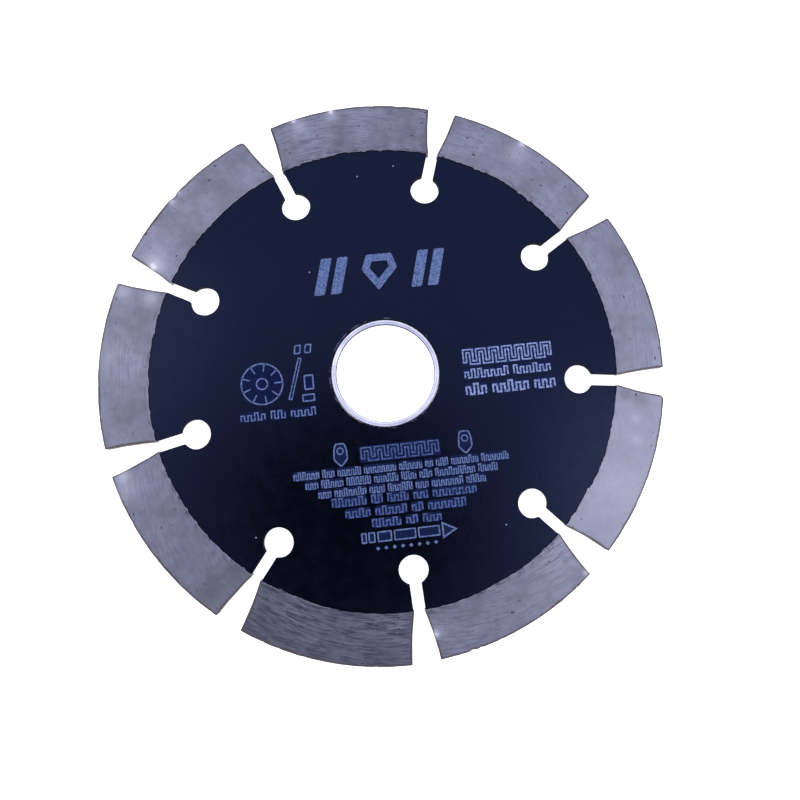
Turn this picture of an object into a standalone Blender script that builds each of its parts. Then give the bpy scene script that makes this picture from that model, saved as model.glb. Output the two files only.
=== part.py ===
"""A 115 mm segmented diamond blade for dry cutting, with the reducing bush that fits its bore.

The blade lies flat. +Z is its spin axis, and the origin is on that axis, half way through the
blade's thickness. One cooling slot lies on +X. All lengths are in metres.
"""

import math

import bmesh
import bpy
from mathutils import Matrix, Vector

MM = 0.001

# Driving dimensions
SEGMENT_COUNT = 9
BLADE_RADIUS = 57.5 * MM
SEGMENT_THICKNESS = 2.2 * MM
SEGMENT_HEIGHT = 9.9 * MM
CORE_THICKNESS = 1.5 * MM
CORE_BORE_RADIUS = 11.115 * MM
BUSH_BORE_RADIUS = 10.0 * MM
BUSH_THICKNESS = 1.4 * MM
FIT_GAP = 0.05 * MM

# Cooling slots: parallel walls that end in a round keyhole
SLOT_WIDTH = 2.45 * MM
KEYHOLE_RADIUS = 3.0 * MM
KEYHOLE_PITCH_RADIUS = 39.8 * MM

# The gap between two segments, as half widths measured from the slot's centre line
FOOT_HALF_GAP = 0.97 * MM
TIP_HALF_GAP = 2.95 * MM
END_FACE_HOLLOW = 0.23 * MM

# The core's rim inside each segment: a tongue with notches that key the sintered metal
TONGUE_RADIUS = 50.5 * MM
TONGUE_HALF_GAP = 2.4 * MM
KEY_COUNT = 4
KEY_WIDTH = 1.4 * MM
KEY_DEPTH = 1.5 * MM

# Chamfers at the bush's four edges
BUSH_CHAMFER_WIDTH = 0.35 * MM
BUSH_CHAMFER_DEPTH = 0.2 * MM

# Facets
BORE_STEPS = 96
KEYHOLE_STEPS = 20
END_FACE_STEPS = 6
SEGMENT_ARC_STEPS = 24
KEY_ARC_STEPS = 3
SMOOTH_BELOW = math.radians(30)

# Worked out from the above
PITCH = 2 * math.pi / SEGMENT_COUNT
SEGMENT_FOOT_RADIUS = BLADE_RADIUS - SEGMENT_HEIGHT
SHOULDER_RADIUS = SEGMENT_FOOT_RADIUS - FIT_GAP
BUSH_RADIUS = CORE_BORE_RADIUS - FIT_GAP
GROOVE_WIDTH = CORE_THICKNESS + 2 * FIT_GAP
GROOVE_MOUTH_RADIUS = SEGMENT_FOOT_RADIUS - 1.5 * MM


# ---------------------------------------------------------------- points in the XY plane


def polar(radius, angle):
    return Vector((radius * math.cos(angle), radius * math.sin(angle)))


def angle_of(point):
    return math.atan2(point.y, point.x)


def beside_slot(radius, half_gap):
    """The point at this radius, this far from the centre line of the slot on +X."""
    return Vector((math.sqrt(radius**2 - half_gap**2), half_gap))


def arc(radius, start, end, steps):
    """Points from the start angle to the end angle, both included."""
    return [polar(radius, start + (end - start) * step / steps) for step in range(steps + 1)]


def turned(points, angle):
    spin = Matrix.Rotation(angle, 2)
    return [spin @ point for point in points]


def mirrored(points):
    """The same points on the other side of the slot on +X, in the opposite order."""
    return [Vector((point.x, -point.y)) for point in reversed(points)]


# ---------------------------------------------------------------- outlines, counter-clockwise


def slot_outline():
    """The slot on +X, from its lower mouth corner round the keyhole to its upper one."""
    wall = SLOT_WIDTH / 2
    neck = math.asin(wall / KEYHOLE_RADIUS)
    centre = Vector((KEYHOLE_PITCH_RADIUS, 0.0))
    keyhole = [centre + point for point in arc(KEYHOLE_RADIUS, 2 * math.pi - neck, neck, KEYHOLE_STEPS)]
    mouth = beside_slot(SHOULDER_RADIUS, wall)
    return mirrored([mouth]) + keyhole + [mouth]


def tongue_outline(gap):
    """The rim of the tongue between the slot on +X and the next slot, grown outwards by gap."""
    rim = TONGUE_RADIUS + gap
    key_floor = TONGUE_RADIUS - KEY_DEPTH + gap
    key_angle = (KEY_WIDTH - 2 * gap) / rim
    corner = angle_of(beside_slot(rim, TONGUE_HALF_GAP - gap))
    land_angle = (PITCH - 2 * corner - KEY_COUNT * key_angle) / (KEY_COUNT + 1)
    points = []
    start = corner
    for _ in range(KEY_COUNT):
        end = start + land_angle
        points += arc(rim, start, end, KEY_ARC_STEPS)
        start = end + key_angle
        points += [polar(key_floor, end), polar(key_floor, start)]
    return points + arc(rim, start, PITCH - corner, KEY_ARC_STEPS)


def core_outline():
    shoulder = [beside_slot(SHOULDER_RADIUS, TONGUE_HALF_GAP)]
    one_pitch = mirrored(shoulder) + slot_outline() + shoulder + tongue_outline(0.0)
    points = []
    for index in range(SEGMENT_COUNT):
        points += turned(one_pitch, index * PITCH)
    return points


def end_face():
    """The end of a segment beside the slot on +X, from foot to tip, slightly hollow."""
    points = []
    for step in range(END_FACE_STEPS + 1):
        along = step / END_FACE_STEPS
        straight = FOOT_HALF_GAP + along * (TIP_HALF_GAP - FOOT_HALF_GAP)
        hollow = END_FACE_HOLLOW * 4 * along * (1 - along)
        points.append(beside_slot(SEGMENT_FOOT_RADIUS + along * SEGMENT_HEIGHT, straight + hollow))
    return points


def segment_outline():
    """The segment between the slot on +X and the next slot."""
    first_end = end_face()
    last_end = turned(mirrored(first_end), PITCH)
    rim = arc(BLADE_RADIUS, angle_of(first_end[-1]), angle_of(last_end[0]), SEGMENT_ARC_STEPS)
    foot = arc(SEGMENT_FOOT_RADIUS, angle_of(last_end[-1]), angle_of(first_end[0]), SEGMENT_ARC_STEPS)
    return first_end[:-1] + rim + last_end[1:-1] + foot[:-1]


def groove_outline():
    """The tongue with the fit gap all round it, and open towards the axis."""
    mouth = [beside_slot(GROOVE_MOUTH_RADIUS, TONGUE_HALF_GAP - FIT_GAP)]
    return mouth + tongue_outline(FIT_GAP) + turned(mirrored(mouth), PITCH)


def bush_profile():
    """The bush's section as (radius, height): down its outer side, then up its bore."""
    face = BUSH_THICKNESS / 2
    edge = face - BUSH_CHAMFER_DEPTH
    upper = [
        (BUSH_BORE_RADIUS, edge),
        (BUSH_BORE_RADIUS + BUSH_CHAMFER_WIDTH, face),
        (BUSH_RADIUS - BUSH_CHAMFER_WIDTH, face),
        (BUSH_RADIUS, edge),
    ]
    return upper + [(radius, -height) for radius, height in reversed(upper)]


# ---------------------------------------------------------------- solids


def steel(name, colour, roughness, metallic):
    made = bpy.data.materials.new(name)
    made.use_nodes = True
    shader = made.node_tree.nodes["Principled BSDF"]
    shader.inputs["Base Color"].default_value = (*colour, 1.0)
    shader.inputs["Roughness"].default_value = roughness
    shader.inputs["Metallic"].default_value = metallic
    made.diffuse_color = (*colour, 1.0)
    return made


def new_object(name, mesh):
    made = bpy.data.objects.new(name, mesh)
    bpy.context.scene.collection.objects.link(made)
    return made


def plate(name, outline, thickness, hole=()):
    """A flat plate centred on z = 0, with at most one hole."""
    edited = bmesh.new()
    edges = []
    for loop in (outline, hole):
        corners = [edited.verts.new((point.x, point.y, -thickness / 2)) for point in loop]
        edges += [edited.edges.new((a, b)) for a, b in zip(corners, corners[1:] + corners[:1])]
    bmesh.ops.triangle_fill(edited, use_beauty=True, edges=edges)
    lifted = bmesh.ops.extrude_face_region(edited, geom=edited.faces[:])["geom"]
    raised = [item for item in lifted if isinstance(item, bmesh.types.BMVert)]
    bmesh.ops.translate(edited, verts=raised, vec=(0.0, 0.0, thickness))
    bmesh.ops.recalc_face_normals(edited, faces=edited.faces[:])
    mesh = bpy.data.meshes.new(name)
    edited.to_mesh(mesh)
    edited.free()
    return mesh


def shade_round(mesh):
    mesh.shade_smooth()
    mesh.set_sharp_from_angle(angle=SMOOTH_BELOW)


def make_core():
    bore = arc(CORE_BORE_RADIUS, 0.0, 2 * math.pi, BORE_STEPS)[:-1]
    mesh = plate("core", core_outline(), CORE_THICKNESS, bore)
    mesh.materials.append(steel("navy_lacquer", (0.012, 0.016, 0.045), 0.35, 0.0))
    shade_round(mesh)
    return new_object("core", mesh)


def grooved_segment_mesh():
    """One segment as a saddle: its outline at full thickness, less the groove for the tongue."""
    blank = new_object("segment_blank", plate("segment_blank", segment_outline(), SEGMENT_THICKNESS))
    cutter = new_object("groove_cutter", plate("groove_cutter", groove_outline(), GROOVE_WIDTH))
    cut = blank.modifiers.new("groove", "BOOLEAN")
    cut.operation = "DIFFERENCE"
    cut.object = cutter
    mesh = bpy.data.meshes.new_from_object(blank.evaluated_get(bpy.context.evaluated_depsgraph_get()))
    mesh.name = "segment"
    for helper in (blank, cutter):
        bpy.data.objects.remove(helper, do_unlink=True)
    return mesh


def make_segments(blade):
    mesh = grooved_segment_mesh()
    mesh.materials.clear()
    mesh.materials.append(steel("sintered_diamond", (0.36, 0.36, 0.48), 0.42, 0.85))
    shade_round(mesh)
    for index in range(SEGMENT_COUNT):
        segment = new_object(f"segment_{index + 1}", mesh)
        segment.rotation_euler.z = index * PITCH
        segment.parent = blade


def make_bush():
    """The ring's origin is on the axis it slides along."""
    mesh = bpy.data.meshes.new("bush")
    profile = bush_profile()
    sides = [(index, (index + 1) % len(profile)) for index in range(len(profile))]
    mesh.from_pydata([(radius, 0.0, height) for radius, height in profile], sides, [])
    mesh.materials.append(steel("turned_steel", (0.72, 0.74, 0.82), 0.25, 1.0))
    bush = new_object("bush", mesh)
    turning = bush.modifiers.new("turning", "SCREW")
    turning.axis = "Z"
    turning.steps = BORE_STEPS
    turning.render_steps = BORE_STEPS
    turning.use_merge_vertices = True
    turning.merge_threshold = 0.001 * MM
    turning.use_smooth_shade = True


def main():
    for leftover in list(bpy.data.objects):
        bpy.data.objects.remove(leftover, do_unlink=True)
    core = make_core()
    make_segments(core)
    make_bush()


main()
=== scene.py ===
"""The looks of a segmented diamond blade: worn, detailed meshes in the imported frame, with materials."""

import math
import random
from typing import NamedTuple

import bmesh
import bpy
from mathutils import Matrix, Vector, noise


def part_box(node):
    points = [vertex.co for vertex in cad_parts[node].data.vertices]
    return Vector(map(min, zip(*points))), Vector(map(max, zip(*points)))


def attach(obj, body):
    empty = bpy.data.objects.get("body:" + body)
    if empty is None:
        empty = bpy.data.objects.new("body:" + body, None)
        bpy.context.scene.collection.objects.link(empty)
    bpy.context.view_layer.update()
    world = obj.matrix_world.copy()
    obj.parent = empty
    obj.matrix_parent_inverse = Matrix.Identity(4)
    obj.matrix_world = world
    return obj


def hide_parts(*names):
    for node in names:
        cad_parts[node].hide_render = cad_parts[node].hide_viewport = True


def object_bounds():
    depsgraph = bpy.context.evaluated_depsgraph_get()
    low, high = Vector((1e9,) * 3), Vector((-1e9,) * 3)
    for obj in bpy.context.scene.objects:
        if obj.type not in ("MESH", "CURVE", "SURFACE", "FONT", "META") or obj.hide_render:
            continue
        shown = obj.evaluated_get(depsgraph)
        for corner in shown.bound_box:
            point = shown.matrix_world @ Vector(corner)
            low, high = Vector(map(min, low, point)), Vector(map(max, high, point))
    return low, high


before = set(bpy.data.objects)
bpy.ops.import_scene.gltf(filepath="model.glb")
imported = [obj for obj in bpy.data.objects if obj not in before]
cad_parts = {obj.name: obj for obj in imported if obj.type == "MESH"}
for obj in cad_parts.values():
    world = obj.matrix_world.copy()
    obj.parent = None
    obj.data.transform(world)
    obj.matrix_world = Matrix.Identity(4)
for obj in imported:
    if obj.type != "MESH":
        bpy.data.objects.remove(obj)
cad_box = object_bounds()

MM = 0.001
ORIGIN = Vector((0.0, 0.0))

# ---------------- sizes from the frame

BLADE_RADIUS = cad_box[1].y
FLOOR_Z = cad_box[0].z
CORE_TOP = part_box("core")[1].z
TONGUE_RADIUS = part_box("core")[1].y
SEGMENT_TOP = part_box("segment_1")[1].z
BUSH_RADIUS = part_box("bush")[1].x
BUSH_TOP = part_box("bush")[1].z
SEGMENT_COUNT = sum(name.startswith("segment_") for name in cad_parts)
PITCH = 2 * math.pi / SEGMENT_COUNT

# Sizes that a box doesn't give, the same as in the CAD model
FIT_GAP = 0.05 * MM
BUSH_BORE_RADIUS = 10.0 * MM
BUSH_CHAMFER_DEPTH = 0.2 * MM
SEGMENT_HEIGHT = 9.9 * MM
SLOT_HALF_WIDTH = 1.225 * MM
KEYHOLE_RADIUS = 3.0 * MM
KEYHOLE_PITCH_RADIUS = 39.8 * MM
FOOT_HALF_GAP = 0.97 * MM
TIP_HALF_GAP = 2.95 * MM
END_FACE_HOLLOW = 0.23 * MM
TONGUE_HALF_GAP = 2.4 * MM
KEY_COUNT = 4
KEY_WIDTH = 1.4 * MM
KEY_DEPTH = 1.5 * MM

CORE_BORE_RADIUS = BUSH_RADIUS + FIT_GAP
FOOT_RADIUS = BLADE_RADIUS - SEGMENT_HEIGHT
SHOULDER_RADIUS = FOOT_RADIUS - FIT_GAP
GROOVE_HALF = CORE_TOP + FIT_GAP
RIM_LENGTH = BLADE_RADIUS * PITCH - 2 * TIP_HALF_GAP

# ---------------- finish of the meshes


class Waver(NamedTuple):
    """Smooth unevenness. Each segment has its own, and so may each side of it."""

    reach: float
    wavelength: float
    seed: int

    def noise_at(self, x, y, index, side):
        """From -1 to 1."""
        layer = 7.3 * (index + self.seed * side)
        return noise.noise(Vector((x / self.wavelength, y / self.wavelength, layer)))

    def both_ways(self, x, y, index, side=1):
        return self.reach * self.noise_at(x, y, index, side)

    def one_way(self, x, y, index, side=1):
        return self.reach * (0.5 + 0.5 * self.noise_at(x, y, index, side))


EDGE_STEPS = 3
CORE_EDGE = 0.12 * MM
KEYHOLE_STEPS = 64
CORE_BORE_STEPS = 240
SLOT_WALL_STEPS = 14
LAND_STEPS = 6
LACQUER_BUILD = 0.04 * MM
SLOT_WAVER = Waver(0.03 * MM, 2.2 * MM, 0)

SEGMENT_EDGE = 0.13 * MM
SEGMENT_COLUMNS = 200
SEGMENT_ROWS = 28
EDGE_CROWDING = 0.8
STEP_WIDTH = 0.03 * MM
SIDE_STEPS = 6
GROOVE_LIP = 0.03 * MM
FACE_SWELL = Waver(0.035 * MM, 9.0 * MM, 3)
FACE_RIPPLE = Waver(0.008 * MM, 1.1 * MM, 5)
RIM_WAVER = Waver(0.10 * MM, 1.6 * MM, 20)
FOOT_DRIFT = Waver(0.22 * MM, 11.0 * MM, 40)
FOOT_WAVER = Waver(0.13 * MM, 1.9 * MM, 60)
END_WAVER = Waver(0.07 * MM, 2.6 * MM, 80)
FOOT_STEP = 0.22 * MM
FOOT_STEP_LENGTH = 0.9 * MM
FOOT_HELD = 1.5 * MM
FOOT_FREED = 2.5 * MM
SIDE_GRAIN = 0.05 * MM
SIDE_GRAIN_SIZE = 0.35 * MM

BUSH_STEPS = 256
BUSH_EDGE = 0.12 * MM

# ---------------- plane geometry


def polar(radius, angle):
    return Vector((radius * math.cos(angle), radius * math.sin(angle)))


def beside_slot(radius, half_gap):
    """The point at this radius, this far from the centre line of the slot on +X."""
    return Vector((math.sqrt(radius**2 - half_gap**2), half_gap))


def angle_of(point):
    return math.atan2(point.y, point.x)


def arc(radius, start, end, steps):
    return [polar(radius, start + (end - start) * step / steps) for step in range(steps + 1)]


def circle(centre, radius, steps):
    return [centre + point for point in arc(radius, 0.0, 2 * math.pi, steps)[:-1]]


def turned(points, angle):
    spin = Matrix.Rotation(angle, 2)
    return [spin @ point for point in points]


def mirrored(points):
    """The same points on the other side of the slot on +X, in the opposite order."""
    return [Vector((point.x, -point.y)) for point in reversed(points)]


def outwards(loop):
    """At each point, how far an edge moves out per unit of offset. Material lies left of the loop."""
    steps = []
    for before, here, after in zip(loop[-1:] + loop[:-1], loop, loop[1:] + loop[:1]):
        into = (here - before).normalized()
        out_of = (after - here).normalized()
        middle = Vector((into.y + out_of.y, -into.x - out_of.x)).normalized()
        steps.append(middle / max(middle.dot(Vector((into.y, -into.x))), 0.5))
    return steps


def grown(loop, by):
    return [point + step * by for point, step in zip(loop, outwards(loop))]


def softened(corners, radius, steps=4):
    """A closed outline with each corner rounded off."""
    points = []
    for before, here, after in zip(corners[-1:] + corners[:-1], corners, corners[1:] + corners[:1]):
        reach_in = min(radius, (before - here).length / 2)
        reach_out = min(radius, (after - here).length / 2)
        start = here + (before - here).normalized() * reach_in
        end = here + (after - here).normalized() * reach_out
        for step in range(steps + 1):
            along = step / steps
            points.append(start.lerp(here, along).lerp(here.lerp(end, along), along))
    return points


def crowded(count):
    """Places from 0 to 1, closer together at both ends."""
    shares = [index / count for index in range(count + 1)]
    return [share - EDGE_CROWDING * math.sin(2 * math.pi * share) / (2 * math.pi) for share in shares]


def clamped(share):
    return min(max(share, 0.0), 1.0)


# ---------------- mesh helpers


def edge_rings(top, bottom, rounding):
    """(inset, height) of each ring down the side of a plate, whose edges may be rounded."""
    upper = [(0.0, top)]
    if rounding:
        turns = [math.pi / 2 * step / EDGE_STEPS for step in range(EDGE_STEPS + 1)]
        upper = [(rounding * (1 - math.sin(turn)), top - rounding * (1 - math.cos(turn))) for turn in turns]
    return upper + [(inset, top + bottom - height) for inset, height in reversed(upper)]


def bridge(edited, rings, slot=0):
    """Quads between closed rings that run from top to bottom, with material on their left."""
    for upper, lower in zip(rings, rings[1:]):
        for index in range(len(upper)):
            after = (index + 1) % len(upper)
            face = edited.faces.new((upper[index], lower[index], lower[after], upper[after]))
            face.smooth = True
            face.material_index = slot


def fill_cap(edited, edges, up, slot):
    """Flat faces inside closed loops of edges. up is 1 if they face upwards, and -1 if downwards."""
    filled = bmesh.ops.triangle_fill(edited, use_beauty=True, edges=edges, normal=(0.0, 0.0, up))
    for item in filled["geom"]:
        if isinstance(item, bmesh.types.BMFace):
            item.material_index = slot
            item.smooth = False
            item.normal_update()
            if item.normal.z * up < 0:
                item.normal_flip()


def add_plate(edited, loops, top, bottom, rounding=0.0, slot=0, side_slot=None):
    """A plate with vertical sides. The first loop is its outline, and the others are holes."""
    caps = ([], [])
    for loop in loops:
        steps = outwards(loop)
        rings = []
        for inset, height in edge_rings(top, bottom, rounding):
            ring = [edited.verts.new((*(point - step * inset), height)) for point, step in zip(loop, steps)]
            rings.append(ring)
        bridge(edited, rings, slot if side_slot is None else side_slot)
        for cap, ring in zip(caps, (rings[0], rings[-1])):
            cap += [edited.edges.get(pair) for pair in zip(ring, ring[1:] + ring[:1])]
    for cap, up in zip(caps, (1.0, -1.0)):
        fill_cap(edited, cap, up, slot)


def new_object(name, edited, materials):
    mesh = bpy.data.meshes.new(name)
    edited.to_mesh(mesh)
    edited.free()
    for material in materials:
        mesh.materials.append(material)
    made = bpy.data.objects.new(name, mesh)
    bpy.context.scene.collection.objects.link(made)
    return made


def new_piece(name, edited, materials, body):
    """A visible piece that rides on a CAD body."""
    piece = new_object(name, edited, materials)
    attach(piece, body)
    return piece


# ---------------- node helpers


class Nodes:
    """A node tree, with calls that add a node and return its output socket."""

    def __init__(self, tree):
        self.tree = tree

    def set(self, node, name, value):
        socket = node.inputs[name]
        if isinstance(value, bpy.types.NodeSocket):
            self.tree.links.new(value, socket)
        else:
            socket.default_value = value

    def add(self, kind, inputs, output=0, **settings):
        node = self.tree.nodes.new(kind)
        for name, value in settings.items():
            setattr(node, name, value)
        for name, value in inputs.items():
            self.set(node, name, value)
        return node.outputs[output]

    def math(self, operation, first, second):
        return self.add("ShaderNodeMath", {0: first, 1: second}, operation=operation)

    def plus(self, first, second):
        return self.math("ADD", first, second)

    def times(self, first, second):
        return self.math("MULTIPLY", first, second)

    def ranged(self, value, low, high, to_low=0.0, to_high=1.0, interpolation="LINEAR"):
        """Carries low to to_low and high to to_high, and holds beyond them."""
        inputs = {"Value": value, "From Min": low, "From Max": high, "To Min": to_low, "To Max": to_high}
        return self.add("ShaderNodeMapRange", inputs, interpolation_type=interpolation)


class Material(Nodes):
    """Scales are per metre on an object's own place, and per millimetre on the UV map."""

    def __init__(self, name):
        self.material = bpy.data.materials.new(name)
        self.material.use_nodes = True
        super().__init__(self.material.node_tree)

    def finish(self, **inputs):
        for name, value in inputs.items():
            self.set(self.tree.nodes["Principled BSDF"], name.replace("_", " "), value)
        return self.material

    def object_place(self):
        return self.add("ShaderNodeTexCoord", {}, "Object")

    def attribute(self, name):
        return self.add("ShaderNodeAttribute", {}, "Fac", attribute_name=name)

    def stretched(self, place, across, along):
        return self.add("ShaderNodeVectorMath", {0: place, 1: (across, along, 1.0)}, operation="MULTIPLY")

    def length(self, vector):
        return self.add("ShaderNodeVectorMath", {0: vector}, "Value", operation="LENGTH")

    def grain(self, place, scale, detail=3.0, roughness=0.55, distortion=0.0):
        inputs = {"Vector": place, "Scale": scale, "Detail": detail, "Roughness": roughness}
        return self.add("ShaderNodeTexNoise", {**inputs, "Distortion": distortion}, "Fac")

    def cells(self, place, scale):
        """The distance to the nearest random point, and that point's two random numbers."""
        inputs = {"Vector": place, "Scale": scale}
        distance = self.add("ShaderNodeTexVoronoi", inputs, "Distance", voronoi_dimensions="2D")
        first = self.add("ShaderNodeSeparateColor", {"Color": distance.node.outputs["Color"]}, "Red")
        return distance, first, first.node.outputs["Green"]

    def spots(self, place, scale, radius, share):
        """1 inside round spots at random places. share is how many of the cells hold one."""
        distance, chance, _ = self.cells(place, scale)
        return self.times(self.math("LESS_THAN", chance, share), self.ranged(distance, radius, radius / 2))

    def pits(self, place, scale, share):
        """1 inside ragged pits of uneven size at random places. share is as for spots."""
        distance, chance, size = self.cells(place, scale)
        radius = self.ranged(self.math("POWER", size, 2.0), 0.0, 1.0, 0.06, 0.24)
        ragged = self.plus(distance, self.ranged(self.grain(place, 4.0), 0.3, 0.7, -0.05, 0.05))
        inside = self.ranged(self.math("DIVIDE", ragged, radius), 1.2, 0.6)
        return self.times(self.math("LESS_THAN", chance, share), inside)

    def mix(self, share, first, second):
        return self.add("ShaderNodeMix", {0: share, 6: first, 7: second}, 2, data_type="RGBA")

    def bump(self, height, distance, strength, under=None):
        inputs = {"Height": height, "Distance": distance, "Strength": strength}
        if under is not None:
            inputs["Normal"] = under
        return self.add("ShaderNodeBump", inputs)


# ---------------- colours


def rgb(red, green, blue):
    return (red, green, blue, 1.0)


def toned(colour, tone):
    return rgb(*(tone * part for part in colour[:3]))


LACQUER_DEEP = rgb(0.0009, 0.0011, 0.0019)
LACQUER_PALE = rgb(0.0014, 0.0018, 0.0032)
LACQUER_SHEEN = rgb(0.42, 0.48, 1.0)
DUST = rgb(0.35, 0.37, 0.45)
SCRAPED = rgb(0.24, 0.25, 0.40)
EDGE_DEEP = rgb(0.004, 0.004, 0.006)
EDGE_PALE = rgb(0.011, 0.011, 0.014)

METAL_DARK = rgb(0.235, 0.22, 0.232)
METAL_LIGHT = rgb(0.415, 0.394, 0.428)
SCRATCH = rgb(0.085, 0.08, 0.10)
GLEAM = rgb(0.55, 0.55, 0.62)
GRIME = rgb(0.05, 0.05, 0.08)
BROWNED = rgb(0.15, 0.10, 0.08)
# Painted highlight: the near-white colour of the glints
GLINT_PAINT = rgb(1.0, 0.93, 0.90)
SINTER_DARK = rgb(0.065, 0.052, 0.045)
SINTER_LIGHT = rgb(0.18, 0.15, 0.128)

STEEL_BRIGHT = rgb(0.98, 0.93, 0.93)
STEEL_STAINED = rgb(0.72, 0.68, 0.72)
# Painted shade: the dark colours of the bore's wall
BORE_DARK = rgb(0.05, 0.05, 0.07)
BORE_LIGHT = rgb(0.12, 0.12, 0.16)
FLOOR_WHITES = (rgb(0.86, 0.86, 0.86), rgb(0.88, 0.88, 0.88))

# ---------------- materials


def lacquer():
    """Blue-black satin lacquer with dust on it, rubbed through here and there beside the bush."""
    nodes = Material("lacquer")
    place = nodes.object_place()
    cloud = nodes.ranged(nodes.grain(place, 90.0, 4.0), 0.35, 0.65)
    colour = nodes.mix(cloud, LACQUER_DEEP, LACQUER_PALE)
    colour = nodes.mix(nodes.spots(place, 120.0, 0.022, 0.12), colour, DUST)
    near, far = CORE_BORE_RADIUS + 0.15 * MM, CORE_BORE_RADIUS + 0.45 * MM
    beside_bush = nodes.ranged(nodes.length(place), near, far, 1.0, 0.0)
    scrapes = nodes.ranged(nodes.grain(place, 420.0, 4.0, 0.65), 0.52, 0.64, 0.0, 0.6)
    colour = nodes.mix(nodes.times(beside_bush, scrapes), colour, SCRAPED)
    roughness = nodes.ranged(nodes.grain(place, 450.0, 4.0), 0.3, 0.7, 0.15, 0.21)
    orange_peel = nodes.bump(nodes.grain(place, 1500.0, 2.0), 0.02 * MM, 0.35)
    nodes.finish(Specular_Tint=LACQUER_SHEEN)
    return nodes.finish(Base_Color=colour, Roughness=roughness, Normal=orange_peel)


def cut_edge():
    """The core's sides, where the lacquer is thin, dry and nearly black."""
    nodes = Material("cut_edge")
    grains = nodes.grain(nodes.object_place(), 2500.0, 3.0, 0.6)
    colour = nodes.mix(nodes.ranged(grains, 0.35, 0.65), EDGE_DEEP, EDGE_PALE)
    surface = nodes.bump(grains, 0.03 * MM, 0.6)
    nodes.finish(Specular_IOR_Level=0.08)
    return nodes.finish(Base_Color=colour, Roughness=0.8, Normal=surface)


class Wear(NamedTuple):
    """How one segment's ground face looks."""

    tone: float  # how light the metal is painted: partly its own tone, partly painted light and shade for how much light this segment catches
    lean: float  # how much lighter its second end is than its first
    grind_turn: float  # degrees between the scratches and the rim
    streaks: float  # strength of the dark scratches, from 0 to 1
    pits: float  # share of the places for a pit that hold one
    cloud: float  # strength of the mottling, from 0 to 1


# The tones are partly painted light and shade: segments that catch more light are set lighter, those that
# catch less darker
WEAR = (
    Wear(1.03, -0.1, 3.0, 0.30, 0.14, 0.7),
    Wear(1.02, -0.4, -2.0, 0.40, 0.28, 0.8),
    Wear(0.87, 0.1, 4.0, 0.55, 0.26, 0.9),
    Wear(0.98, 0.2, 8.0, 0.16, 0.22, 0.8),
    Wear(0.98, -0.05, -3.0, 0.34, 0.12, 0.8),
    Wear(0.89, -0.55, 12.0, 0.45, 0.12, 0.9),
    Wear(0.67, 0.0, 2.0, 1.00, 0.08, 0.9),
    Wear(0.96, 0.7, 9.0, 0.55, 0.12, 0.8),
    Wear(1.27, 0.0, 2.0, 0.06, 0.08, 0.35),
)


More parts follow.
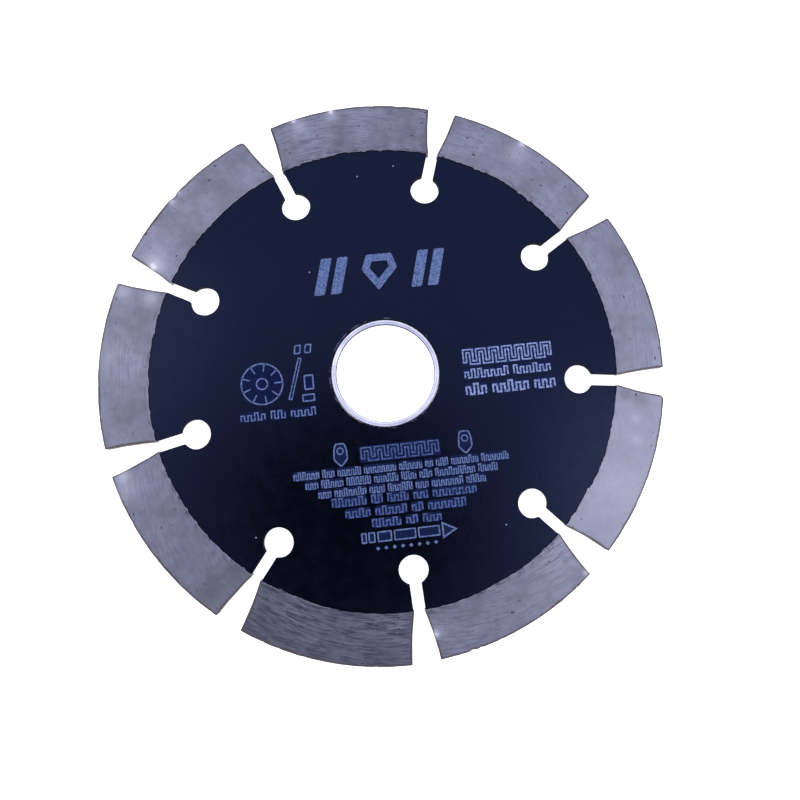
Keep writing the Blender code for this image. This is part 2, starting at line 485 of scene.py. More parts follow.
class GroundMetal(Material):
    """A segment's ground face: mottled metal with scratches, pits, brown edges and painted glint highlights.
    """

    def __init__(self, name, wear):
        super().__init__(name)
        self.wear = wear
        self.place = self.add("ShaderNodeUVMap", {}, "UV", uv_map="surface_mm")
        self.edge = self.attribute("edge_mm")

    def mottle(self):
        broad = self.times(self.grain(self.place, 0.10, 3.0), 0.72)
        fine = self.times(self.grain(self.place, 0.45, 4.0, 0.6), 0.28)
        half = 0.5 * self.wear.cloud
        cloud = self.ranged(self.plus(broad, fine), 0.38, 0.62, -half, half)
        return self.plus(self.plus(cloud, self.attribute("lean")), 0.5)

    def marks(self):
        """Long and short grinding marks laid over each other."""
        long_marks = self.grain(self.stretched(self.place, 0.17, 2.0), 1.0, 4.0, 0.6, 0.3)
        short_marks = self.grain(self.stretched(self.place, 0.42, 4.0), 1.0, 3.0, 0.6)
        return self.plus(self.times(long_marks, 0.6), self.times(short_marks, 0.4))

    def scratches(self, marks):
        """The deepest marks. A face with few of them has them in patches."""
        streaks = self.wear.streaks
        patches = self.ranged(self.grain(self.place, 0.10, 1.0), 0.40, 0.60, 0.8 * streaks**3, 1.0)
        deep = self.ranged(marks, 0.49 - 0.04 * streaks, 0.62 - 0.04 * streaks, 0.0, 0.9 * streaks)
        return self.times(deep, patches)

    def gleams(self):
        gleams = self.grain(self.stretched(self.place, 0.5, 3.4), 1.0, 3.0)
        return self.ranged(gleams, 0.55, 0.72, 0.0, 0.08 + 0.25 * self.wear.streaks)

    def clustered_pits(self):
        """Pits in clusters, and more of them along the edges."""
        clusters = self.ranged(self.grain(self.place, 0.16, 2.0), 0.42, 0.62, 0.1, 1.3)
        clusters = self.plus(clusters, self.ranged(self.edge, 0.6, 2.2, 1.3, 0.0))
        return self.pits(self.stretched(self.place, 0.45, 1.0), 0.9, self.times(clusters, self.wear.pits))

    def foot_darkening(self):
        """Darker patches along the foot."""
        near_foot = self.ranged(self.attribute("foot_mm"), 0.1, 1.3, 1.0, 0.0)
        foot_darkening = self.grain(self.stretched(self.place, 0.5, 1.2), 1.0, 4.0, 0.65)
        strength = min(1.2 * self.wear.streaks, 0.7)
        return self.times(near_foot, self.ranged(foot_darkening, 0.48, 0.62, 0.0, strength))

    def brown_edge(self):
        """A brown line along the worn edges, frayed, and broader in places."""
        fray = self.times(self.grain(self.place, 1.1, 4.0, 0.6), -0.35)
        broader = self.ranged(self.grain(self.place, 0.13, 2.0), 0.52, 0.64, 0.0, -0.15)
        return self.ranged(self.plus(self.plus(self.edge, broader), fray), 0.08, 0.30, 0.9, 0.0)

    def ground(self):
        # The tone is partly painted light and shade for how much light this segment catches
        tone = self.wear.tone
        marks = self.marks()
        pits = self.clustered_pits()
        colour = self.mix(self.mottle(), toned(METAL_DARK, tone), toned(METAL_LIGHT, tone))
        colour = self.mix(self.scratches(marks), colour, toned(SCRATCH, tone))
        colour = self.mix(self.gleams(), colour, toned(GLEAM, tone))
        colour = self.mix(self.times(pits, 0.85), colour, GRIME)
        colour = self.mix(self.foot_darkening(), colour, GRIME)
        colour = self.mix(self.brown_edge(), colour, BROWNED)
        # Painted highlight: the glints and their glows are mixed into the colour
        colour = self.mix(self.attribute("painted_glint"), colour, GLINT_PAINT)
        surface = self.bump(marks, 0.03 * MM, 0.5)
        surface = self.bump(self.math("SUBTRACT", 1.0, pits), 0.08 * MM, 0.8, surface)
        roughness = self.ranged(marks, 0.35, 0.65, 0.34, 0.45)
        return self.finish(Base_Color=colour, Metallic=0.85, Roughness=roughness, Normal=surface)


def sintered_metal():
    """The unground sides of the segments: brown-grey and granular."""
    nodes = Material("sintered_metal")
    grains = nodes.grain(nodes.object_place(), 5000.0, 4.0, 0.7)
    colour = nodes.mix(nodes.ranged(grains, 0.35, 0.65), SINTER_DARK, SINTER_LIGHT)
    surface = nodes.bump(grains, 0.06 * MM, 0.9)
    return nodes.finish(Base_Color=colour, Metallic=0.6, Roughness=0.62, Normal=surface)


def turned_steel():
    """The bush: bright steel with fine turning marks."""
    nodes = Material("turned_steel")
    place = nodes.object_place()
    x, y, z = (nodes.add("ShaderNodeSeparateXYZ", {"Vector": place}, axis) for axis in "XYZ")
    radius = nodes.length(nodes.add("ShaderNodeCombineXYZ", {"X": x, "Y": y}))
    turning = nodes.grain(nodes.add("ShaderNodeCombineXYZ", {"X": radius, "Y": z}), 9000.0, 3.0)
    stain = nodes.ranged(nodes.grain(place, 260.0, 4.0), 0.35, 0.7)
    colour = nodes.mix(stain, STEEL_BRIGHT, STEEL_STAINED)
    roughness = nodes.ranged(turning, 0.3, 0.7, 0.26, 0.42)
    surface = nodes.bump(turning, 0.008 * MM, 0.5)
    return nodes.finish(Base_Color=colour, Metallic=1.0, Roughness=roughness, Normal=surface)


def bore_in_painted_shade():
    """The wall of the bush's bore: dull steel coloured dark, as painted shade in the bore."""
    nodes = Material("bore_in_painted_shade")
    place = nodes.object_place()
    stain = nodes.ranged(nodes.grain(place, 700.0, 4.0), 0.35, 0.65)
    colour = nodes.mix(stain, BORE_DARK, BORE_LIGHT)
    surface = nodes.bump(nodes.grain(place, 3000.0, 3.0), 0.02 * MM, 0.6)
    return nodes.finish(Base_Color=colour, Metallic=0.7, Roughness=0.6, Normal=surface)


def ink(name, bright, dull, roughness):
    """Print that broke up into fine grains as it was marked."""
    nodes = Material(name)
    speckle = nodes.ranged(nodes.grain(nodes.object_place(), 3000.0, 3.0, 0.7), 0.40, 0.60)
    colour = nodes.mix(speckle, dull, bright)
    surface = nodes.bump(speckle, 0.01 * MM, 0.5)
    nodes.finish(Specular_IOR_Level=0.2, Specular_Tint=LACQUER_SHEEN)
    return nodes.finish(Base_Color=colour, Roughness=roughness, Normal=surface)


def pale_floor():
    """A white floor that glows, so that it reads as an even ground."""
    nodes = Material("pale_floor")
    colour = nodes.mix(nodes.grain(nodes.object_place(), 3.0, 2.0), *FLOOR_WHITES)
    nodes.finish(Base_Color=colour, Roughness=0.9)
    return nodes.finish(Emission_Color=rgb(1.0, 1.0, 1.0), Emission_Strength=1.0)


# ---------------- core

TONGUE_START = angle_of(beside_slot(TONGUE_RADIUS, TONGUE_HALF_GAP))
KEY_ANGLE = KEY_WIDTH / TONGUE_RADIUS
LAND_ANGLE = (PITCH - 2 * TONGUE_START - KEY_COUNT * KEY_ANGLE) / (KEY_COUNT + 1)


def notches():
    """(start, end) angle of each notch in the tongue that follows the slot on +X."""
    starts = [TONGUE_START + (key + 1) * LAND_ANGLE + key * KEY_ANGLE for key in range(KEY_COUNT)]
    return [(start, start + KEY_ANGLE) for start in starts]


def slot_outline(index):
    """The slot on +X, narrowed by lacquer, from its lower mouth corner round to its upper one."""
    half_width = SLOT_HALF_WIDTH - LACQUER_BUILD
    radius = KEYHOLE_RADIUS - LACQUER_BUILD
    neck = math.asin(half_width / radius)
    centre = Vector((KEYHOLE_PITCH_RADIUS, 0.0))
    keyhole = [centre + point for point in arc(radius, neck, 2 * math.pi - neck, KEYHOLE_STEPS)]
    mouth = beside_slot(SHOULDER_RADIUS, half_width)
    wall = [mouth.lerp(keyhole[0], step / SLOT_WALL_STEPS) for step in range(SLOT_WALL_STEPS)]
    outline = wall + keyhole + mirrored(wall)
    wavers = [SLOT_WAVER.both_ways(point.x, point.y, index) for point in outline]
    return [point + Vector((0.0, waver)) for point, waver in zip(outline, wavers)][::-1]


def tongue_outline():
    """The rim of the tongue inside the segment that follows the slot on +X."""
    points = []
    start = TONGUE_START
    for notch in notches():
        points += arc(TONGUE_RADIUS, start, notch[0], LAND_STEPS)
        points += [polar(TONGUE_RADIUS - KEY_DEPTH, angle) for angle in notch]
        start = notch[1]
    return points + arc(TONGUE_RADIUS, start, PITCH - TONGUE_START, LAND_STEPS)


def make_core():
    shoulder = [beside_slot(SHOULDER_RADIUS, TONGUE_HALF_GAP)]
    outline = []
    for index in range(SEGMENT_COUNT):
        one_pitch = mirrored(shoulder) + slot_outline(index) + shoulder + tongue_outline()
        outline += turned(one_pitch, index * PITCH)
    bore = circle(ORIGIN, CORE_BORE_RADIUS, CORE_BORE_STEPS)[::-1]
    edited = bmesh.new()
    add_plate(edited, [outline, bore], CORE_TOP, -CORE_TOP, CORE_EDGE, side_slot=1)
    core = new_piece("lacquered_core", edited, [lacquer(), cut_edge()], "blade")
    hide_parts("core")


# ---------------- segments


FOOT_START = math.asin(FOOT_HALF_GAP / FOOT_RADIUS)


def groove_steps():
    """The groove's plan, as (angle, radius from there on). A radius of None is no groove."""
    reach = TONGUE_RADIUS + FIT_GAP
    clear = 2 * FIT_GAP / TONGUE_RADIUS
    steps = [(TONGUE_START - clear, reach)]
    for start, end in notches():
        steps += [(start + clear, reach - KEY_DEPTH), (end - clear, reach)]
    return steps + [(PITCH - TONGUE_START + clear, None)]


GROOVE_STEPS = groove_steps()


def groove_radius(s):
    angle = FOOT_START + s * (PITCH - 2 * FOOT_START)
    return next((reach for start, reach in reversed(GROOVE_STEPS) if angle > start), None)


def column_places():
    """Every s that has a column of points: closer at the ends, and in pairs at each groove step."""
    half_step = STEP_WIDTH / 2 / (FOOT_RADIUS * PITCH)
    jumps = [(angle - FOOT_START) / (PITCH - 2 * FOOT_START) for angle, _ in GROOVE_STEPS]
    kept = [s for s in crowded(SEGMENT_COLUMNS) if all(abs(s - jump) > 2 * half_step for jump in jumps)]
    return sorted(kept + [jump + side * half_step for jump in jumps for side in (-1, 1)])


COLUMNS = column_places()
ROWS = crowded(SEGMENT_ROWS)


def border_cells():
    """(column, row) of each point of the outline, from the first end's foot along that end first."""
    last_column, last_row = len(COLUMNS) - 1, len(ROWS) - 1
    half = [(0, row) for row in range(last_row)]
    half += [(column, last_row) for column in range(last_column)]
    return half + [(last_column - column, last_row - row) for column, row in half]


BORDER = border_cells()


def shortfall(along, radius):
    """How far a corner of this radius falls short of a square one, this far along from the end."""
    return radius - math.sqrt(max(radius**2 - max(radius - along, 0.0) ** 2, 0.0))


class Segment:
    """One rim segment with its own wear, in the place that follows the slot on +X.

    s goes from 0 at its first end to 1 at its second, and t from 0 at its foot to 1 at its rim.
    The tables count segments and ends from 0, and are in millimetres.
    """

    # Tip corners worn round well beyond the usual, as (segment, end) to radius
    WORN_TIPS = {(3, 0): 0.8, (3, 1): 0.35, (4, 0): 0.5, (8, 1): 0.95}
    USUAL_TIPS = (0.12, 0.28)

    # Chips in the rim, as segment to (s, half width, depth), and what small ones are like everywhere
    CHIPS = {2: [(0.2, 0.6, 0.14)], 3: [(0.545, 1.1, 0.28)], 7: [(0.19, 0.7, 0.22), (0.24, 0.5, 0.14)]}
    SMALL_CHIPS = 4
    SMALL_HALF_WIDTHS = (0.15, 0.4)
    SMALL_DEPTHS = (0.03, 0.1)
    CHIP_SHAPE = 1.6

    # Ends with another gap than the usual, as (segment, end) to what is added at foot and tip
    TRIMMED_ENDS = {
        (2, 0): (-0.15, -0.25),
        (3, 0): (0.0, 0.45),
        (3, 1): (-0.25, 0.0),
        (4, 0): (0.25, 0.15),
        (4, 1): (-0.10, -0.35),
        (5, 1): (-0.15, -0.35),
        (6, 0): (-0.05, -0.15),
        (6, 1): (0.0, -0.20),
        (7, 0): (0.0, -0.15),
    }

    # Jogs in the foot, as segment to (s, s where it has died away, how much further out it lies)
    FOOT_JOGS = {2: (0.55, 0.63, 0.22), 8: (0.285, 0.12, -0.3)}

    # Rims worn less or more than the usual, as segment to how much further out they are
    RIM_SHIFTS = {0: -0.12, 2: -0.06, 3: -0.06, 5: 0.20, 6: 0.20, 8: -0.10}

    # Painted highlights: glints and their soft glows, painted into the colour, as segment to (s, t, radius,
    # strength)
    PAINTED_GLINTS = {
        1: [(0.54, 0.97, 0.7, 0.6), (0.54, 0.75, 2.6, 0.22)],
        2: [
            (0.61, 0.98, 0.5, 0.95),
            (0.61, 0.88, 1.3, 0.3),
            (0.85, 0.98, 0.5, 0.8),
            (0.83, 0.8, 1.6, 0.25),
        ],
        3: [
            (0.985, 0.48, 0.65, 1.0),
            (0.96, 0.45, 2.2, 0.4),
            (0.51, 0.98, 0.5, 0.4),
            (0.58, 0.96, 0.7, 0.45),
        ],
        4: [(0.04, 0.85, 1.6, 0.25), (0.05, 0.25, 1.6, 0.3), (0.45, 0.9, 3.0, 0.12)],
        5: [(0.02, 0.8, 1.3, 0.45), (0.1, 0.85, 2.4, 0.2)],
        7: [(0.01, 0.5, 0.6, 0.8), (0.03, 0.45, 1.4, 0.2), (0.99, 0.93, 0.6, 0.4)],
        8: [(0.7, 0.55, 1.2, 0.12), (0.82, 0.45, 0.9, 0.14), (0.35, 0.55, 5.0, 0.08)],
    }

    # Spots that stayed dull, in the same terms
    STAINS = {
        2: [(0.58, 0.2, 1.0, 0.3)],
        5: [(0.73, 0.14, 0.9, 0.6), (0.87, 0.14, 1.0, 0.6)],
        8: [(0.96, 0.15, 1.3, 0.8), (0.96, 0.5, 2.2, 0.45)],
    }

    # How far apart the segments, and their two faces, lie in the UV map
    UV_PER_SEGMENT = 61.0
    UV_LOWER_FACE = 17.0

    # What each point stores for the material: distances from edge and foot, lightness, and the strength of
    # the painted glint highlight
    MARKS = ("edge_mm", "foot_mm", "lean", "painted_glint")

    def __init__(self, index):
        self.index = index
        self.trims = [self.TRIMMED_ENDS.get((index, end), (0.0, 0.0)) for end in (0, 1)]
        self.rim_radius = BLADE_RADIUS + self.RIM_SHIFTS.get(index, 0.0) * MM
        dice = random.Random(500 + index)
        usual = [dice.uniform(*self.USUAL_TIPS) for _ in (0, 1)]
        self.tips = [self.WORN_TIPS.get((index, end), usual[end]) * MM for end in (0, 1)]
        self.chips = list(self.CHIPS.get(index, []))
        for _ in range(self.SMALL_CHIPS):
            place = dice.random()
            half_width = dice.uniform(*self.SMALL_HALF_WIDTHS)
            self.chips.append((place, half_width, dice.uniform(*self.SMALL_DEPTHS)))

    def rim(self, s):
        """The rim's radius, short of the circle by its waver, its chips and its worn corners."""
        x = s * RIM_LENGTH
        short = RIM_WAVER.one_way(x, 0.0, self.index)
        for place, half_width, depth in self.chips:
            off = abs(x - place * RIM_LENGTH) / (half_width * MM)
            short += depth * MM * max(1.0 - off**self.CHIP_SHAPE, 0.0)
        short += shortfall(x, self.tips[0]) + shortfall(RIM_LENGTH - x, self.tips[1])
        return self.rim_radius - short

    def foot(self, s):
        """The foot's radius. The foot drifts, wavers and steps, except near its ends."""
        x = s * RIM_LENGTH
        free = clamped((min(x, RIM_LENGTH - x) - FOOT_HELD) / (FOOT_FREED - FOOT_HELD))
        waver = FOOT_DRIFT.both_ways(x, 0.0, self.index) + FOOT_WAVER.both_ways(x, 0.0, self.index)
        step = FOOT_STEP * noise.cell(Vector((x / FOOT_STEP_LENGTH, 3.7 * self.index, 0.0))) ** 4
        return FOOT_RADIUS + free * (waver - step) + self.foot_jog(s)

    def foot_jog(self, s):
        """A sudden step in the foot at one place, which dies away towards another."""
        start, end, reach = self.FOOT_JOGS.get(self.index, (0.0, 1.0, 0.0))
        share = (s - start) / (end - start)
        return reach * MM * (1 - share) if 0 <= share <= 1 else 0.0

    def point(self, s, t, inset=0.0):
        """A point of the plan. inset is how far the whole outline is drawn in."""
        foot = self.foot(s) + inset
        radius = foot + t * (self.rim(s) - inset - foot)
        along = clamped((radius - FOOT_RADIUS) / SEGMENT_HEIGHT)
        half_gap = FOOT_HALF_GAP + along * (TIP_HALF_GAP - FOOT_HALF_GAP)
        half_gap += END_FACE_HOLLOW * 4 * along * (1 - along)
        starts = []
        for end, (at_foot, at_tip) in enumerate(self.trims):
            trim = (at_foot + along * (at_tip - at_foot)) * MM
            waver = END_WAVER.both_ways(radius, end * MM, self.index)
            starts.append(math.asin((half_gap + trim + waver + inset) / radius))
        return polar(radius, starts[0] + s * (PITCH - starts[0] - starts[1]))

    def height(self, point, face):
        """How high the ground face lies at a point. face is 1 for the upper one, -1 for the lower one."""
        swell = FACE_SWELL.one_way(point.x, point.y, self.index, face)
        return face * (SEGMENT_TOP - swell - FACE_RIPPLE.one_way(point.x, point.y, self.index, face))

    def edge_point(self, cell, share, face):
        """A point of the rounded edge. share goes from 0 at the ground face to 1 at the side."""
        s, t = COLUMNS[cell[0]], ROWS[cell[1]]
        turn = math.pi / 2 * share
        plan = self.point(s, t, SEGMENT_EDGE * (1 - math.sin(turn)))
        drop = SEGMENT_EDGE * (1 - math.cos(turn))
        return (*plan, self.height(self.point(s, t, SEGMENT_EDGE), face) - face * drop)

    def side_point(self, cell, height, in_groove):
        """A point of the side wall. One that is in the groove stands back from the foot."""
        s, t = COLUMNS[cell[0]], ROWS[cell[1]]
        at_foot = cell[1] == 0
        plan = self.point(s, t)
        groove = groove_radius(s) if at_foot and in_groove else None
        if groove:
            level = math.copysign(min(abs(height) + GROOVE_LIP, GROOVE_HALF), height) if height else 0.0
            return (*polar(groove, angle_of(plan)), level)
        if at_foot:
            return (*plan, height)
        grain = SIDE_GRAIN * (0.5 + 0.5 * noise.noise(Vector((*plan, height)) / SIDE_GRAIN_SIZE))
        return (*(plan - plan.normalized() * grain), height)

    def side_points(self):
        """Rings of points round the upper edge, down the side wall and round the lower edge."""
        shares = [step / EDGE_STEPS for step in range(1, EDGE_STEPS + 1)]
        inner = GROOVE_HALF - GROOVE_LIP
        levels = [inner * (1 - 2 * step / SIDE_STEPS) for step in range(SIDE_STEPS + 1)]
        rings = [[self.edge_point(cell, share, 1) for cell in BORDER] for share in shares]
        rings.append([self.side_point(cell, GROOVE_HALF, False) for cell in BORDER])
        rings += [[self.side_point(cell, level, True) for cell in BORDER] for level in levels]
        rings.append([self.side_point(cell, -GROOVE_HALF, False) for cell in BORDER])
        rings += [[self.edge_point(cell, share, -1) for cell in BORDER] for share in reversed(shares)]
        return rings

    def mesh(self):
        edited = bmesh.new()
        for name in self.MARKS:
            edited.verts.layers.float.new(name)
        ground = {}
        for face in (1, -1):
            for column, s in enumerate(COLUMNS):
                for row, t in enumerate(ROWS):
                    plan = self.point(s, t, SEGMENT_EDGE)
                    ground[face, column, row] = edited.verts.new((*plan, self.height(plan, face)))
        side = [[edited.verts.new(point) for point in ring] for ring in self.side_points()]
        upper, lower = ([ground[face, *cell] for cell in BORDER] for face in (1, -1))
        bridge(edited, [upper, *side, lower], slot=1)
        self.finish_foot(edited, side)
        for column in range(len(COLUMNS) - 1):
            for row in range(len(ROWS) - 1):
                square = [(column, row), (column, row + 1), (column + 1, row + 1), (column + 1, row)]
                edited.faces.new([ground[1, *cell] for cell in square]).smooth = True
                edited.faces.new([ground[-1, *cell] for cell in reversed(square)]).smooth = True
        self.mark_wear_and_glints(edited, ground)
        self.map_surface(edited)
        return edited

    def finish_foot(self, edited, side):
        """The foot is ground like the faces, and isn't browned."""
        from_edge = edited.verts.layers.float["edge_mm"]
        for ring in side:
            for (_, row), vertex in zip(BORDER, ring):
                if row == 0:
                    vertex[from_edge] = SEGMENT_HEIGHT / MM
        for face in edited.faces:
            if all(vertex.co.xy.length < TONGUE_RADIUS + 2 * FIT_GAP for vertex in face.verts):
                face.material_index = 0

    def spotted(self, spots, s, t):
        """How strongly this segment's soft spots mark a point of the face, from 0 to 1."""
        total = 0.0
        for spot_s, spot_t, radius, strength in spots.get(self.index, ()):
            across = (s - spot_s) * RIM_LENGTH
            along = (t - spot_t) * SEGMENT_HEIGHT
            total += strength * math.exp(-(across**2 + along**2) / (radius * MM) ** 2)
        return min(total, 1.0)

    def mark_wear_and_glints(self, edited, ground):
        """Stores what the material reads, the painted glint highlights among it."""
        from_edge, from_foot, lean, painted_glint = (edited.verts.layers.float[name] for name in self.MARKS)
        for (_, column, row), vertex in ground.items():
            s, t = COLUMNS[column], ROWS[row]
            from_end = min(s, 1 - s) * RIM_LENGTH
            from_rim = (1 - t) * SEGMENT_HEIGHT
            vertex[from_edge] = (min(from_end, from_rim) + SEGMENT_EDGE) / MM
            vertex[from_foot] = t * SEGMENT_HEIGHT / MM
            vertex[lean] = WEAR[self.index].lean * (s - 0.5) - self.spotted(self.STAINS, s, t)
            # Painted highlight: how strongly a glint is painted at this point
            vertex[painted_glint] = self.spotted(self.PAINTED_GLINTS, s, t)

    def map_surface(self, edited):
        """Lays out the UV map, with u along the rim, turned by the angle of the grinding."""
        layer = edited.loops.layers.uv.new("surface_mm")
        turn = math.radians(WEAR[self.index].grind_turn)
        for face in edited.faces:
            for corner in face.loops:
                plan = corner.vert.co.xy
                along = angle_of(plan) * BLADE_RADIUS / MM + self.UV_PER_SEGMENT * self.index
                outward = plan.length / MM
                u = along * math.cos(turn) + outward * math.sin(turn)
                v = outward * math.cos(turn) - along * math.sin(turn)
                corner[layer].uv = (u, v if corner.vert.co.z > 0 else v + self.UV_LOWER_FACE)


def make_segments():
    sides = sintered_metal()
    for index in range(SEGMENT_COUNT):
        edited = Segment(index).mesh()
        bmesh.ops.transform(edited, matrix=Matrix.Rotation(index * PITCH, 4, "Z"), verts=edited.verts)
        materials = [GroundMetal(f"ground_metal_{index + 1}", WEAR[index]).ground(), sides]
        name = f"ground_segment_{index + 1}"
        segment = new_piece(name, edited, materials, "blade")
        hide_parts(f"segment_{index + 1}")


# ---------------- bush


def make_bush():
    """The bush's ends are slightly roofed, so that each shines on two sides."""
    side = BUSH_TOP - BUSH_CHAMFER_DEPTH
    ridge = (BUSH_BORE_RADIUS + BUSH_RADIUS) / 2
    section = [(BUSH_RADIUS, side), (BUSH_RADIUS, -side), (ridge, -BUSH_TOP)]
    section += [(BUSH_BORE_RADIUS, -side), (BUSH_BORE_RADIUS, side), (ridge, BUSH_TOP)]
    edited = bmesh.new()
    rings = []
    for corner in softened([Vector(corner) for corner in section], BUSH_EDGE):
        rings.append([edited.verts.new((*point, corner.y)) for point in circle(ORIGIN, corner.x, BUSH_STEPS)])
    bridge(edited, rings + rings[:1])
    for face in edited.faces:
        # The bore's wall takes the painted shade
        if all(vertex.co.xy.length < BUSH_BORE_RADIUS + BUSH_EDGE for vertex in face.verts):
            face.material_index = 1
    bush = new_piece("turned_bush", edited, [turned_steel(), bore_in_painted_shade()], "bush")
    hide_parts("bush")


# ---------------- print

PRINT_TURN = math.radians(7.6)
PRINT_SINK = 0.02 * MM
LINE_RISE = 0.018 * MM
FILL_RISE = 0.012 * MM
HALO_RISE = 0.006 * MM
HALO_REACH = 0.22  # millimetres
WORD_GAP = 1.9  # strokes
STROKE_HEIGHTS = (0.72, 0.72, 1.0)  # shares of a row's height
FINE = 0.25  # millimetres, the width of a stroke
BOLD = 0.34
BAND = 0.95


def box_at(left, right, low, high, slant=0.0):
    """A block, laid out in millimetres. slant is how far its top leans to the right."""
    corners = ((left, low), (right, low), (right + slant, high), (left + slant, high))
    return [Vector(corner) * MM for corner in corners]


def disc_at(x, y, radius, steps=40):
    return circle(Vector((x, y)) * MM, radius * MM, steps)


def meander(left, pitch, strokes, low, highs):
    """A path that goes up and down once per stroke, laid out in millimetres."""
    path = []
    for index in range(strokes):
        x = left + index * pitch
        ends = (low, highs[index]) if index % 2 == 0 else (highs[index - 1], low)
        path += [Vector((x, y)) * MM for y in ends]
    return path


def stroked(path, width):
    """The outline of a line of this width along an open path."""
    sides = ([], [])
    for index, here in enumerate(path):
        before = path[max(index - 1, 0)]
        after = path[min(index + 1, len(path) - 1)]
        into = (here - before if index else after - here).normalized()
        out_of = (after - here if index < len(path) - 1 else here - before).normalized()
        middle = Vector((into.y + out_of.y, -into.x - out_of.x)).normalized()
        reach = middle * width * MM / 2 / middle.dot(Vector((into.y, -into.x)))
        sides[0].append(here + reach)
        sides[1].append(here - reach)
    return sides[0] + sides[1][::-1]


class Print:
    """One patch of print: thin raised marks on the lacquer, in a frame turned with the blade."""

    def __init__(self, name):
        self.name = name
        self.edited = bmesh.new()

    def mark(self, loops, rise, slot):
        placed = [turned(loop, PRINT_TURN) for loop in loops]
        add_plate(self.edited, placed, CORE_TOP + rise, CORE_TOP - PRINT_SINK, slot=slot)

    def solid(self, outer, hole=None, slot=0):
        self.mark([outer, hole[::-1]] if hole else [outer], LINE_RISE, slot)

    def outlined(self, corners, line, rounding, slot=0):
        """A line round a shape, with the duller ink inside it."""
        inner = softened(grown(corners, -line * MM), rounding * MM / 2, 2)
        self.solid(softened(corners, rounding * MM, 3), inner, slot)
        self.mark([grown(inner, 0.2 * line * MM)], FILL_RISE, 1)

    def halo(self, left, right, low, high):
        """The dull ink that bled out round a word."""
        reach = HALO_REACH
        corners = box_at(left - reach, right + reach, low - reach, high + reach)
        self.mark([softened(corners, 2 * reach * MM)], HALO_RISE, 1)

    def hatched_row(self, left, right, low, high, words, width, seed, slot=0):
        """Groups of hatching in place of words. words counts the strokes of each."""
        dice = random.Random(seed)
        pitch = (right - left - width) / (sum(words) - len(words) + WORD_GAP * (len(words) - 1))
        x = left + width / 2
        for strokes in words:
            highs = [low + (high - low) * dice.choice(STROKE_HEIGHTS) for _ in range(strokes)]
            self.solid(stroked(meander(x, pitch, strokes, low, highs), width), slot=slot)
            self.halo(x, x + (strokes - 1) * pitch, low, high)
            x += (strokes - 1 + WORD_GAP) * pitch

    def hatched_band(self, left, right, low, high, strokes, line, slot=0):
        """One broad outlined meander, as wide as a headline."""
        pitch = (right - left - BAND) / (strokes - 1)
        path = meander(left + BAND / 2, pitch, strokes, low + BAND / 2, [high - BAND / 2] * strokes)
        self.outlined(stroked(path, BAND), line, 0.12, slot)
        self.halo(left, right, low, high)

    def finish(self, inks):
        new_piece(self.name, self.edited, inks, "blade")


def print_mark(inks):
    """A made-up mark: a gem between two pairs of leaning bars."""
    patch = Print("printed_mark")
    low, shoulder, high = 17.3, 21.9, 25.0
    for left in (-13.0, -9.6, 7.1, 10.5):
        patch.solid(softened(box_at(left, left + 2.2, low, high, slant=2.1), 0.4 * MM))
    gem = ((0.4, low), (4.6, shoulder), (3.6, high), (-1.6, high), (-2.8, shoulder))
    gem = [Vector(corner) * MM for corner in gem]
    patch.solid(softened(gem, 0.4 * MM), softened(grown(gem, -1.5 * MM), 0.2 * MM))
    patch.finish(inks)


def print_size(inks):
    """A slotted disc with its bore, a slanted line between small boxes, and a row of hatching."""
    patch = Print("printed_size")
    x, y, radius = -25.0, 0.2, 4.3
    patch.solid(disc_at(x, y, radius), disc_at(x, y, radius - 0.3))
    patch.mark([disc_at(x, y, radius - 0.24)], FILL_RISE, 1)
    patch.solid(disc_at(x, y, 1.25), disc_at(x, y, 0.95))
    slot = [Vector((2.5, 0.0)), Vector((radius - 0.15, 0.0))]
    for index in range(SEGMENT_COUNT):
        patch.solid(stroked([(point + Vector((x, y))) * MM for point in turned(slot, index * PITCH)], 0.28))
    patch.outlined(stroked([Vector((-19.6, -3.6)) * MM, Vector((-17.0, 4.8)) * MM], 0.8), 0.24, 0.15)
    for left in (-18.2, -16.1):
        patch.outlined(box_at(left, left + 1.4, 5.6, 7.5, slant=0.3), 0.28, 0.3)
    patch.outlined(box_at(-17.2, -14.6, -4.3, -2.7), 0.3, 0.3)
    patch.outlined(box_at(-16.6, -14.6, -1.9, 1.2), 0.3, 0.3)
    patch.hatched_row(-29.8, -14.7, -7.0, -5.5, (8, 5, 8), 0.26, 11)
    patch.finish(inks)


def print_rating(inks):
    """Three lines of hatching on the right."""
    patch = Print("printed_rating")
    patch.hatched_band(16.0, 34.5, -0.2, 3.2, 14, 0.31)
    patch.hatched_row(16.0, 33.9, -2.8, -1.1, (14, 12), 0.32, 12)
    patch.hatched_row(15.9, 34.5, -6.2, -4.1, (6, 10, 6), 0.40, 13)
    patch.finish(inks)


def shield(x, y):
    """A shield outline, point down, for a pictogram about 5 mm tall."""
    corners = [(0.0, -2.6), (1.5, -1.0), (1.4, 0.9), (1.0, 2.3), (-1.0, 2.3), (-1.4, 0.9), (-1.5, -1.0)]
    return [Vector((x + across, y + up)) * MM for across, up in corners]


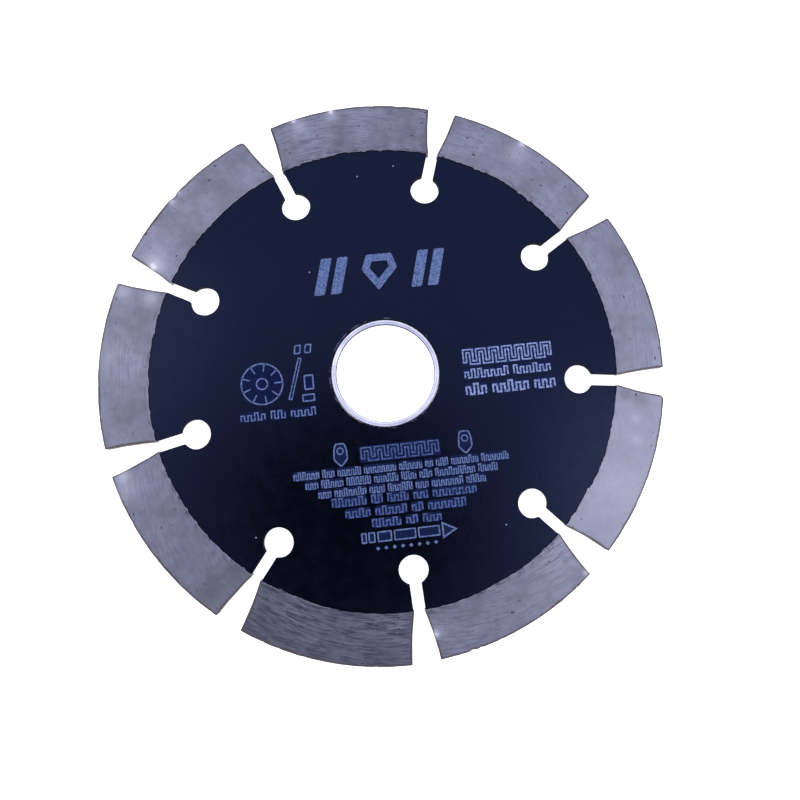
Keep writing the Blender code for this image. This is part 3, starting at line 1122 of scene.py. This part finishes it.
def print_notice(inks):
    """A heading between two shields, ever shorter rows of hatching, and the arrow of rotation."""
    patch = Print("printed_notice")
    for x in (-10.6, 14.6):
        patch.outlined(shield(x, -15.6), 0.3, 0.5)
        patch.solid(disc_at(x, -14.9, 0.75), disc_at(x, -14.9, 0.5))
    patch.hatched_band(-6.6, 9.3, -17.5, -14.6, 12, 0.28, slot=2)
    patch.hatched_row(-20.3, 23.1, -19.8, -18.4, (12, 6, 11, 15, 11, 4, 6, 13, 13), FINE, 21)
    patch.hatched_row(-18.1, 20.6, -21.8, -20.4, (6, 10, 11, 11, 7, 6, 18, 9), FINE, 22)
    patch.hatched_row(-15.7, 18.0, -23.8, -22.4, (6, 14, 7, 11, 6, 14, 9), FINE, 23)
    patch.hatched_row(-13.2, 15.9, -25.8, -24.3, (11, 4, 7, 5, 14), BOLD, 24, slot=2)
    patch.hatched_row(-10.7, 13.5, -28.2, -26.7, (8, 10, 4, 12), BOLD, 25, slot=2)
    patch.hatched_row(-5.6, 8.3, -30.5, -29.1, (9, 4, 6), BOLD, 26, slot=2)
    for left, right in ((-8.0, -6.9), (-6.6, -5.2), (-4.8, -1.9), (-1.5, 2.9), (3.3, 7.7)):
        patch.outlined(box_at(left, right, -33.6, -31.5), 0.28, 0.2)
    head = [Vector(corner) * MM for corner in ((8.1, -34.3), (11.2, -32.6), (8.1, -30.9))]
    patch.outlined(head, 0.34, 0.15)
    for index in range(8):
        patch.solid(disc_at(-4.9 + index * 1.65, -34.8, 0.42, 4))
    patch.finish(inks)


def make_print():
    """Of a patch's inks, the first draws the lines and the second fills them."""
    clear = ink("clear_ink", rgb(0.34, 0.40, 0.60), rgb(0.09, 0.115, 0.22), 0.55)
    worn = ink("worn_ink", rgb(0.17, 0.22, 0.36), rgb(0.06, 0.085, 0.18), 0.6)
    faint = ink("faint_ink", rgb(0.10, 0.14, 0.28), rgb(0.025, 0.04, 0.11), 0.6)
    bled = ink("bled_ink", rgb(0.007, 0.013, 0.048), rgb(0.003, 0.006, 0.026), 0.5)
    fill = ink("fill_ink", rgb(0.004, 0.008, 0.045), rgb(0.002, 0.004, 0.020), 0.5)
    print_mark([worn])
    print_size([worn, fill])
    print_rating([clear, bled])
    print_notice([worn, bled, faint])


# ---------------- studio

FLOOR_HALF_SIDE = 2.5

# Rectangular lights as (name, place, size, how bright they look from the origin)
LIGHTS = (
    ("right_light", (0.55, -0.05, 1.0), (0.35, 0.6), 0.9),
    ("left_light", (-0.60, 0.25, 1.0), (0.3, 0.55), 0.6),
)

# The room around the blade: an evenly lit ceiling with one soft dark spot, and bright walls
CEILING = rgb(0.56, 0.66, 1.0)
CEILING_STRENGTH = 0.93
SPOT_DIRECTION = Vector((-0.07, -0.085, 1.0)).normalized()
SPOT_EDGE = (0.135, 0.245)
WALLS = rgb(0.92, 0.94, 1.12)
WALL_STRENGTH = 1.7
WALL_EDGE = (0.45, 0.78)

CAMERA_PLACE = (4.20 * MM, -19.58 * MM, 142.78 * MM)
CAMERA_TURN = (6.80, -2.18, 1.51)
LENS = 31.6
SHIFT = (-0.0375, -0.0172)
CLIP_START = 0.01


def make_floor():
    edited = bmesh.new()
    corners = box_at(-FLOOR_HALF_SIDE, FLOOR_HALF_SIDE, -FLOOR_HALF_SIDE, FLOOR_HALF_SIDE)
    edited.faces.new([edited.verts.new((*(corner / MM), FLOOR_Z)) for corner in corners])
    new_object("floor", edited, [pale_floor()])


def make_lights():
    """The lights face the origin."""
    for name, place, size, radiance in LIGHTS:
        data = bpy.data.lights.new(name, "AREA")
        data.shape = "RECTANGLE"
        data.size, data.size_y = size
        data.energy = radiance * math.pi * size[0] * size[1]
        light = bpy.data.objects.new(name, data)
        bpy.context.scene.collection.objects.link(light)
        light.location = place
        light.rotation_euler = Vector(place).to_track_quat("Z", "Y").to_euler()


def make_world():
    world = bpy.data.worlds.new("studio")
    world.use_nodes = True
    nodes = Nodes(world.node_tree)
    direction = nodes.add("ShaderNodeTexCoord", {}, "Generated")
    up = nodes.add("ShaderNodeSeparateXYZ", {"Vector": direction}, "Z")
    ends = {0: direction, 1: SPOT_DIRECTION}
    from_spot = nodes.add("ShaderNodeVectorMath", ends, "Value", operation="DISTANCE")
    strength = nodes.ranged(from_spot, *SPOT_EDGE, 0.0, CEILING_STRENGTH, "SMOOTHSTEP")
    ceiling = nodes.tree.nodes["Background"]
    nodes.set(ceiling, "Color", CEILING)
    nodes.set(ceiling, "Strength", strength)
    walls = nodes.add("ShaderNodeBackground", {"Color": WALLS, "Strength": WALL_STRENGTH})
    height = nodes.ranged(up, *WALL_EDGE, interpolation="SMOOTHSTEP")
    both = nodes.add("ShaderNodeMixShader", {"Fac": height, 1: walls, 2: ceiling.outputs["Background"]})
    nodes.set(nodes.tree.nodes["World Output"], "Surface", both)
    bpy.context.scene.world = world


def make_camera():
    data = bpy.data.cameras.new("camera")
    data.lens = LENS
    data.shift_x, data.shift_y = SHIFT
    data.clip_start = CLIP_START
    camera = bpy.data.objects.new("camera", data)
    camera.location = CAMERA_PLACE
    camera.rotation_euler = [math.radians(angle) for angle in CAMERA_TURN]
    bpy.context.scene.collection.objects.link(camera)
    bpy.context.scene.camera = camera
    bpy.context.scene.view_settings.view_transform = "Standard"


make_core()
make_segments()
make_bush()
make_print()
make_floor()
make_lights()
make_world()
make_camera()
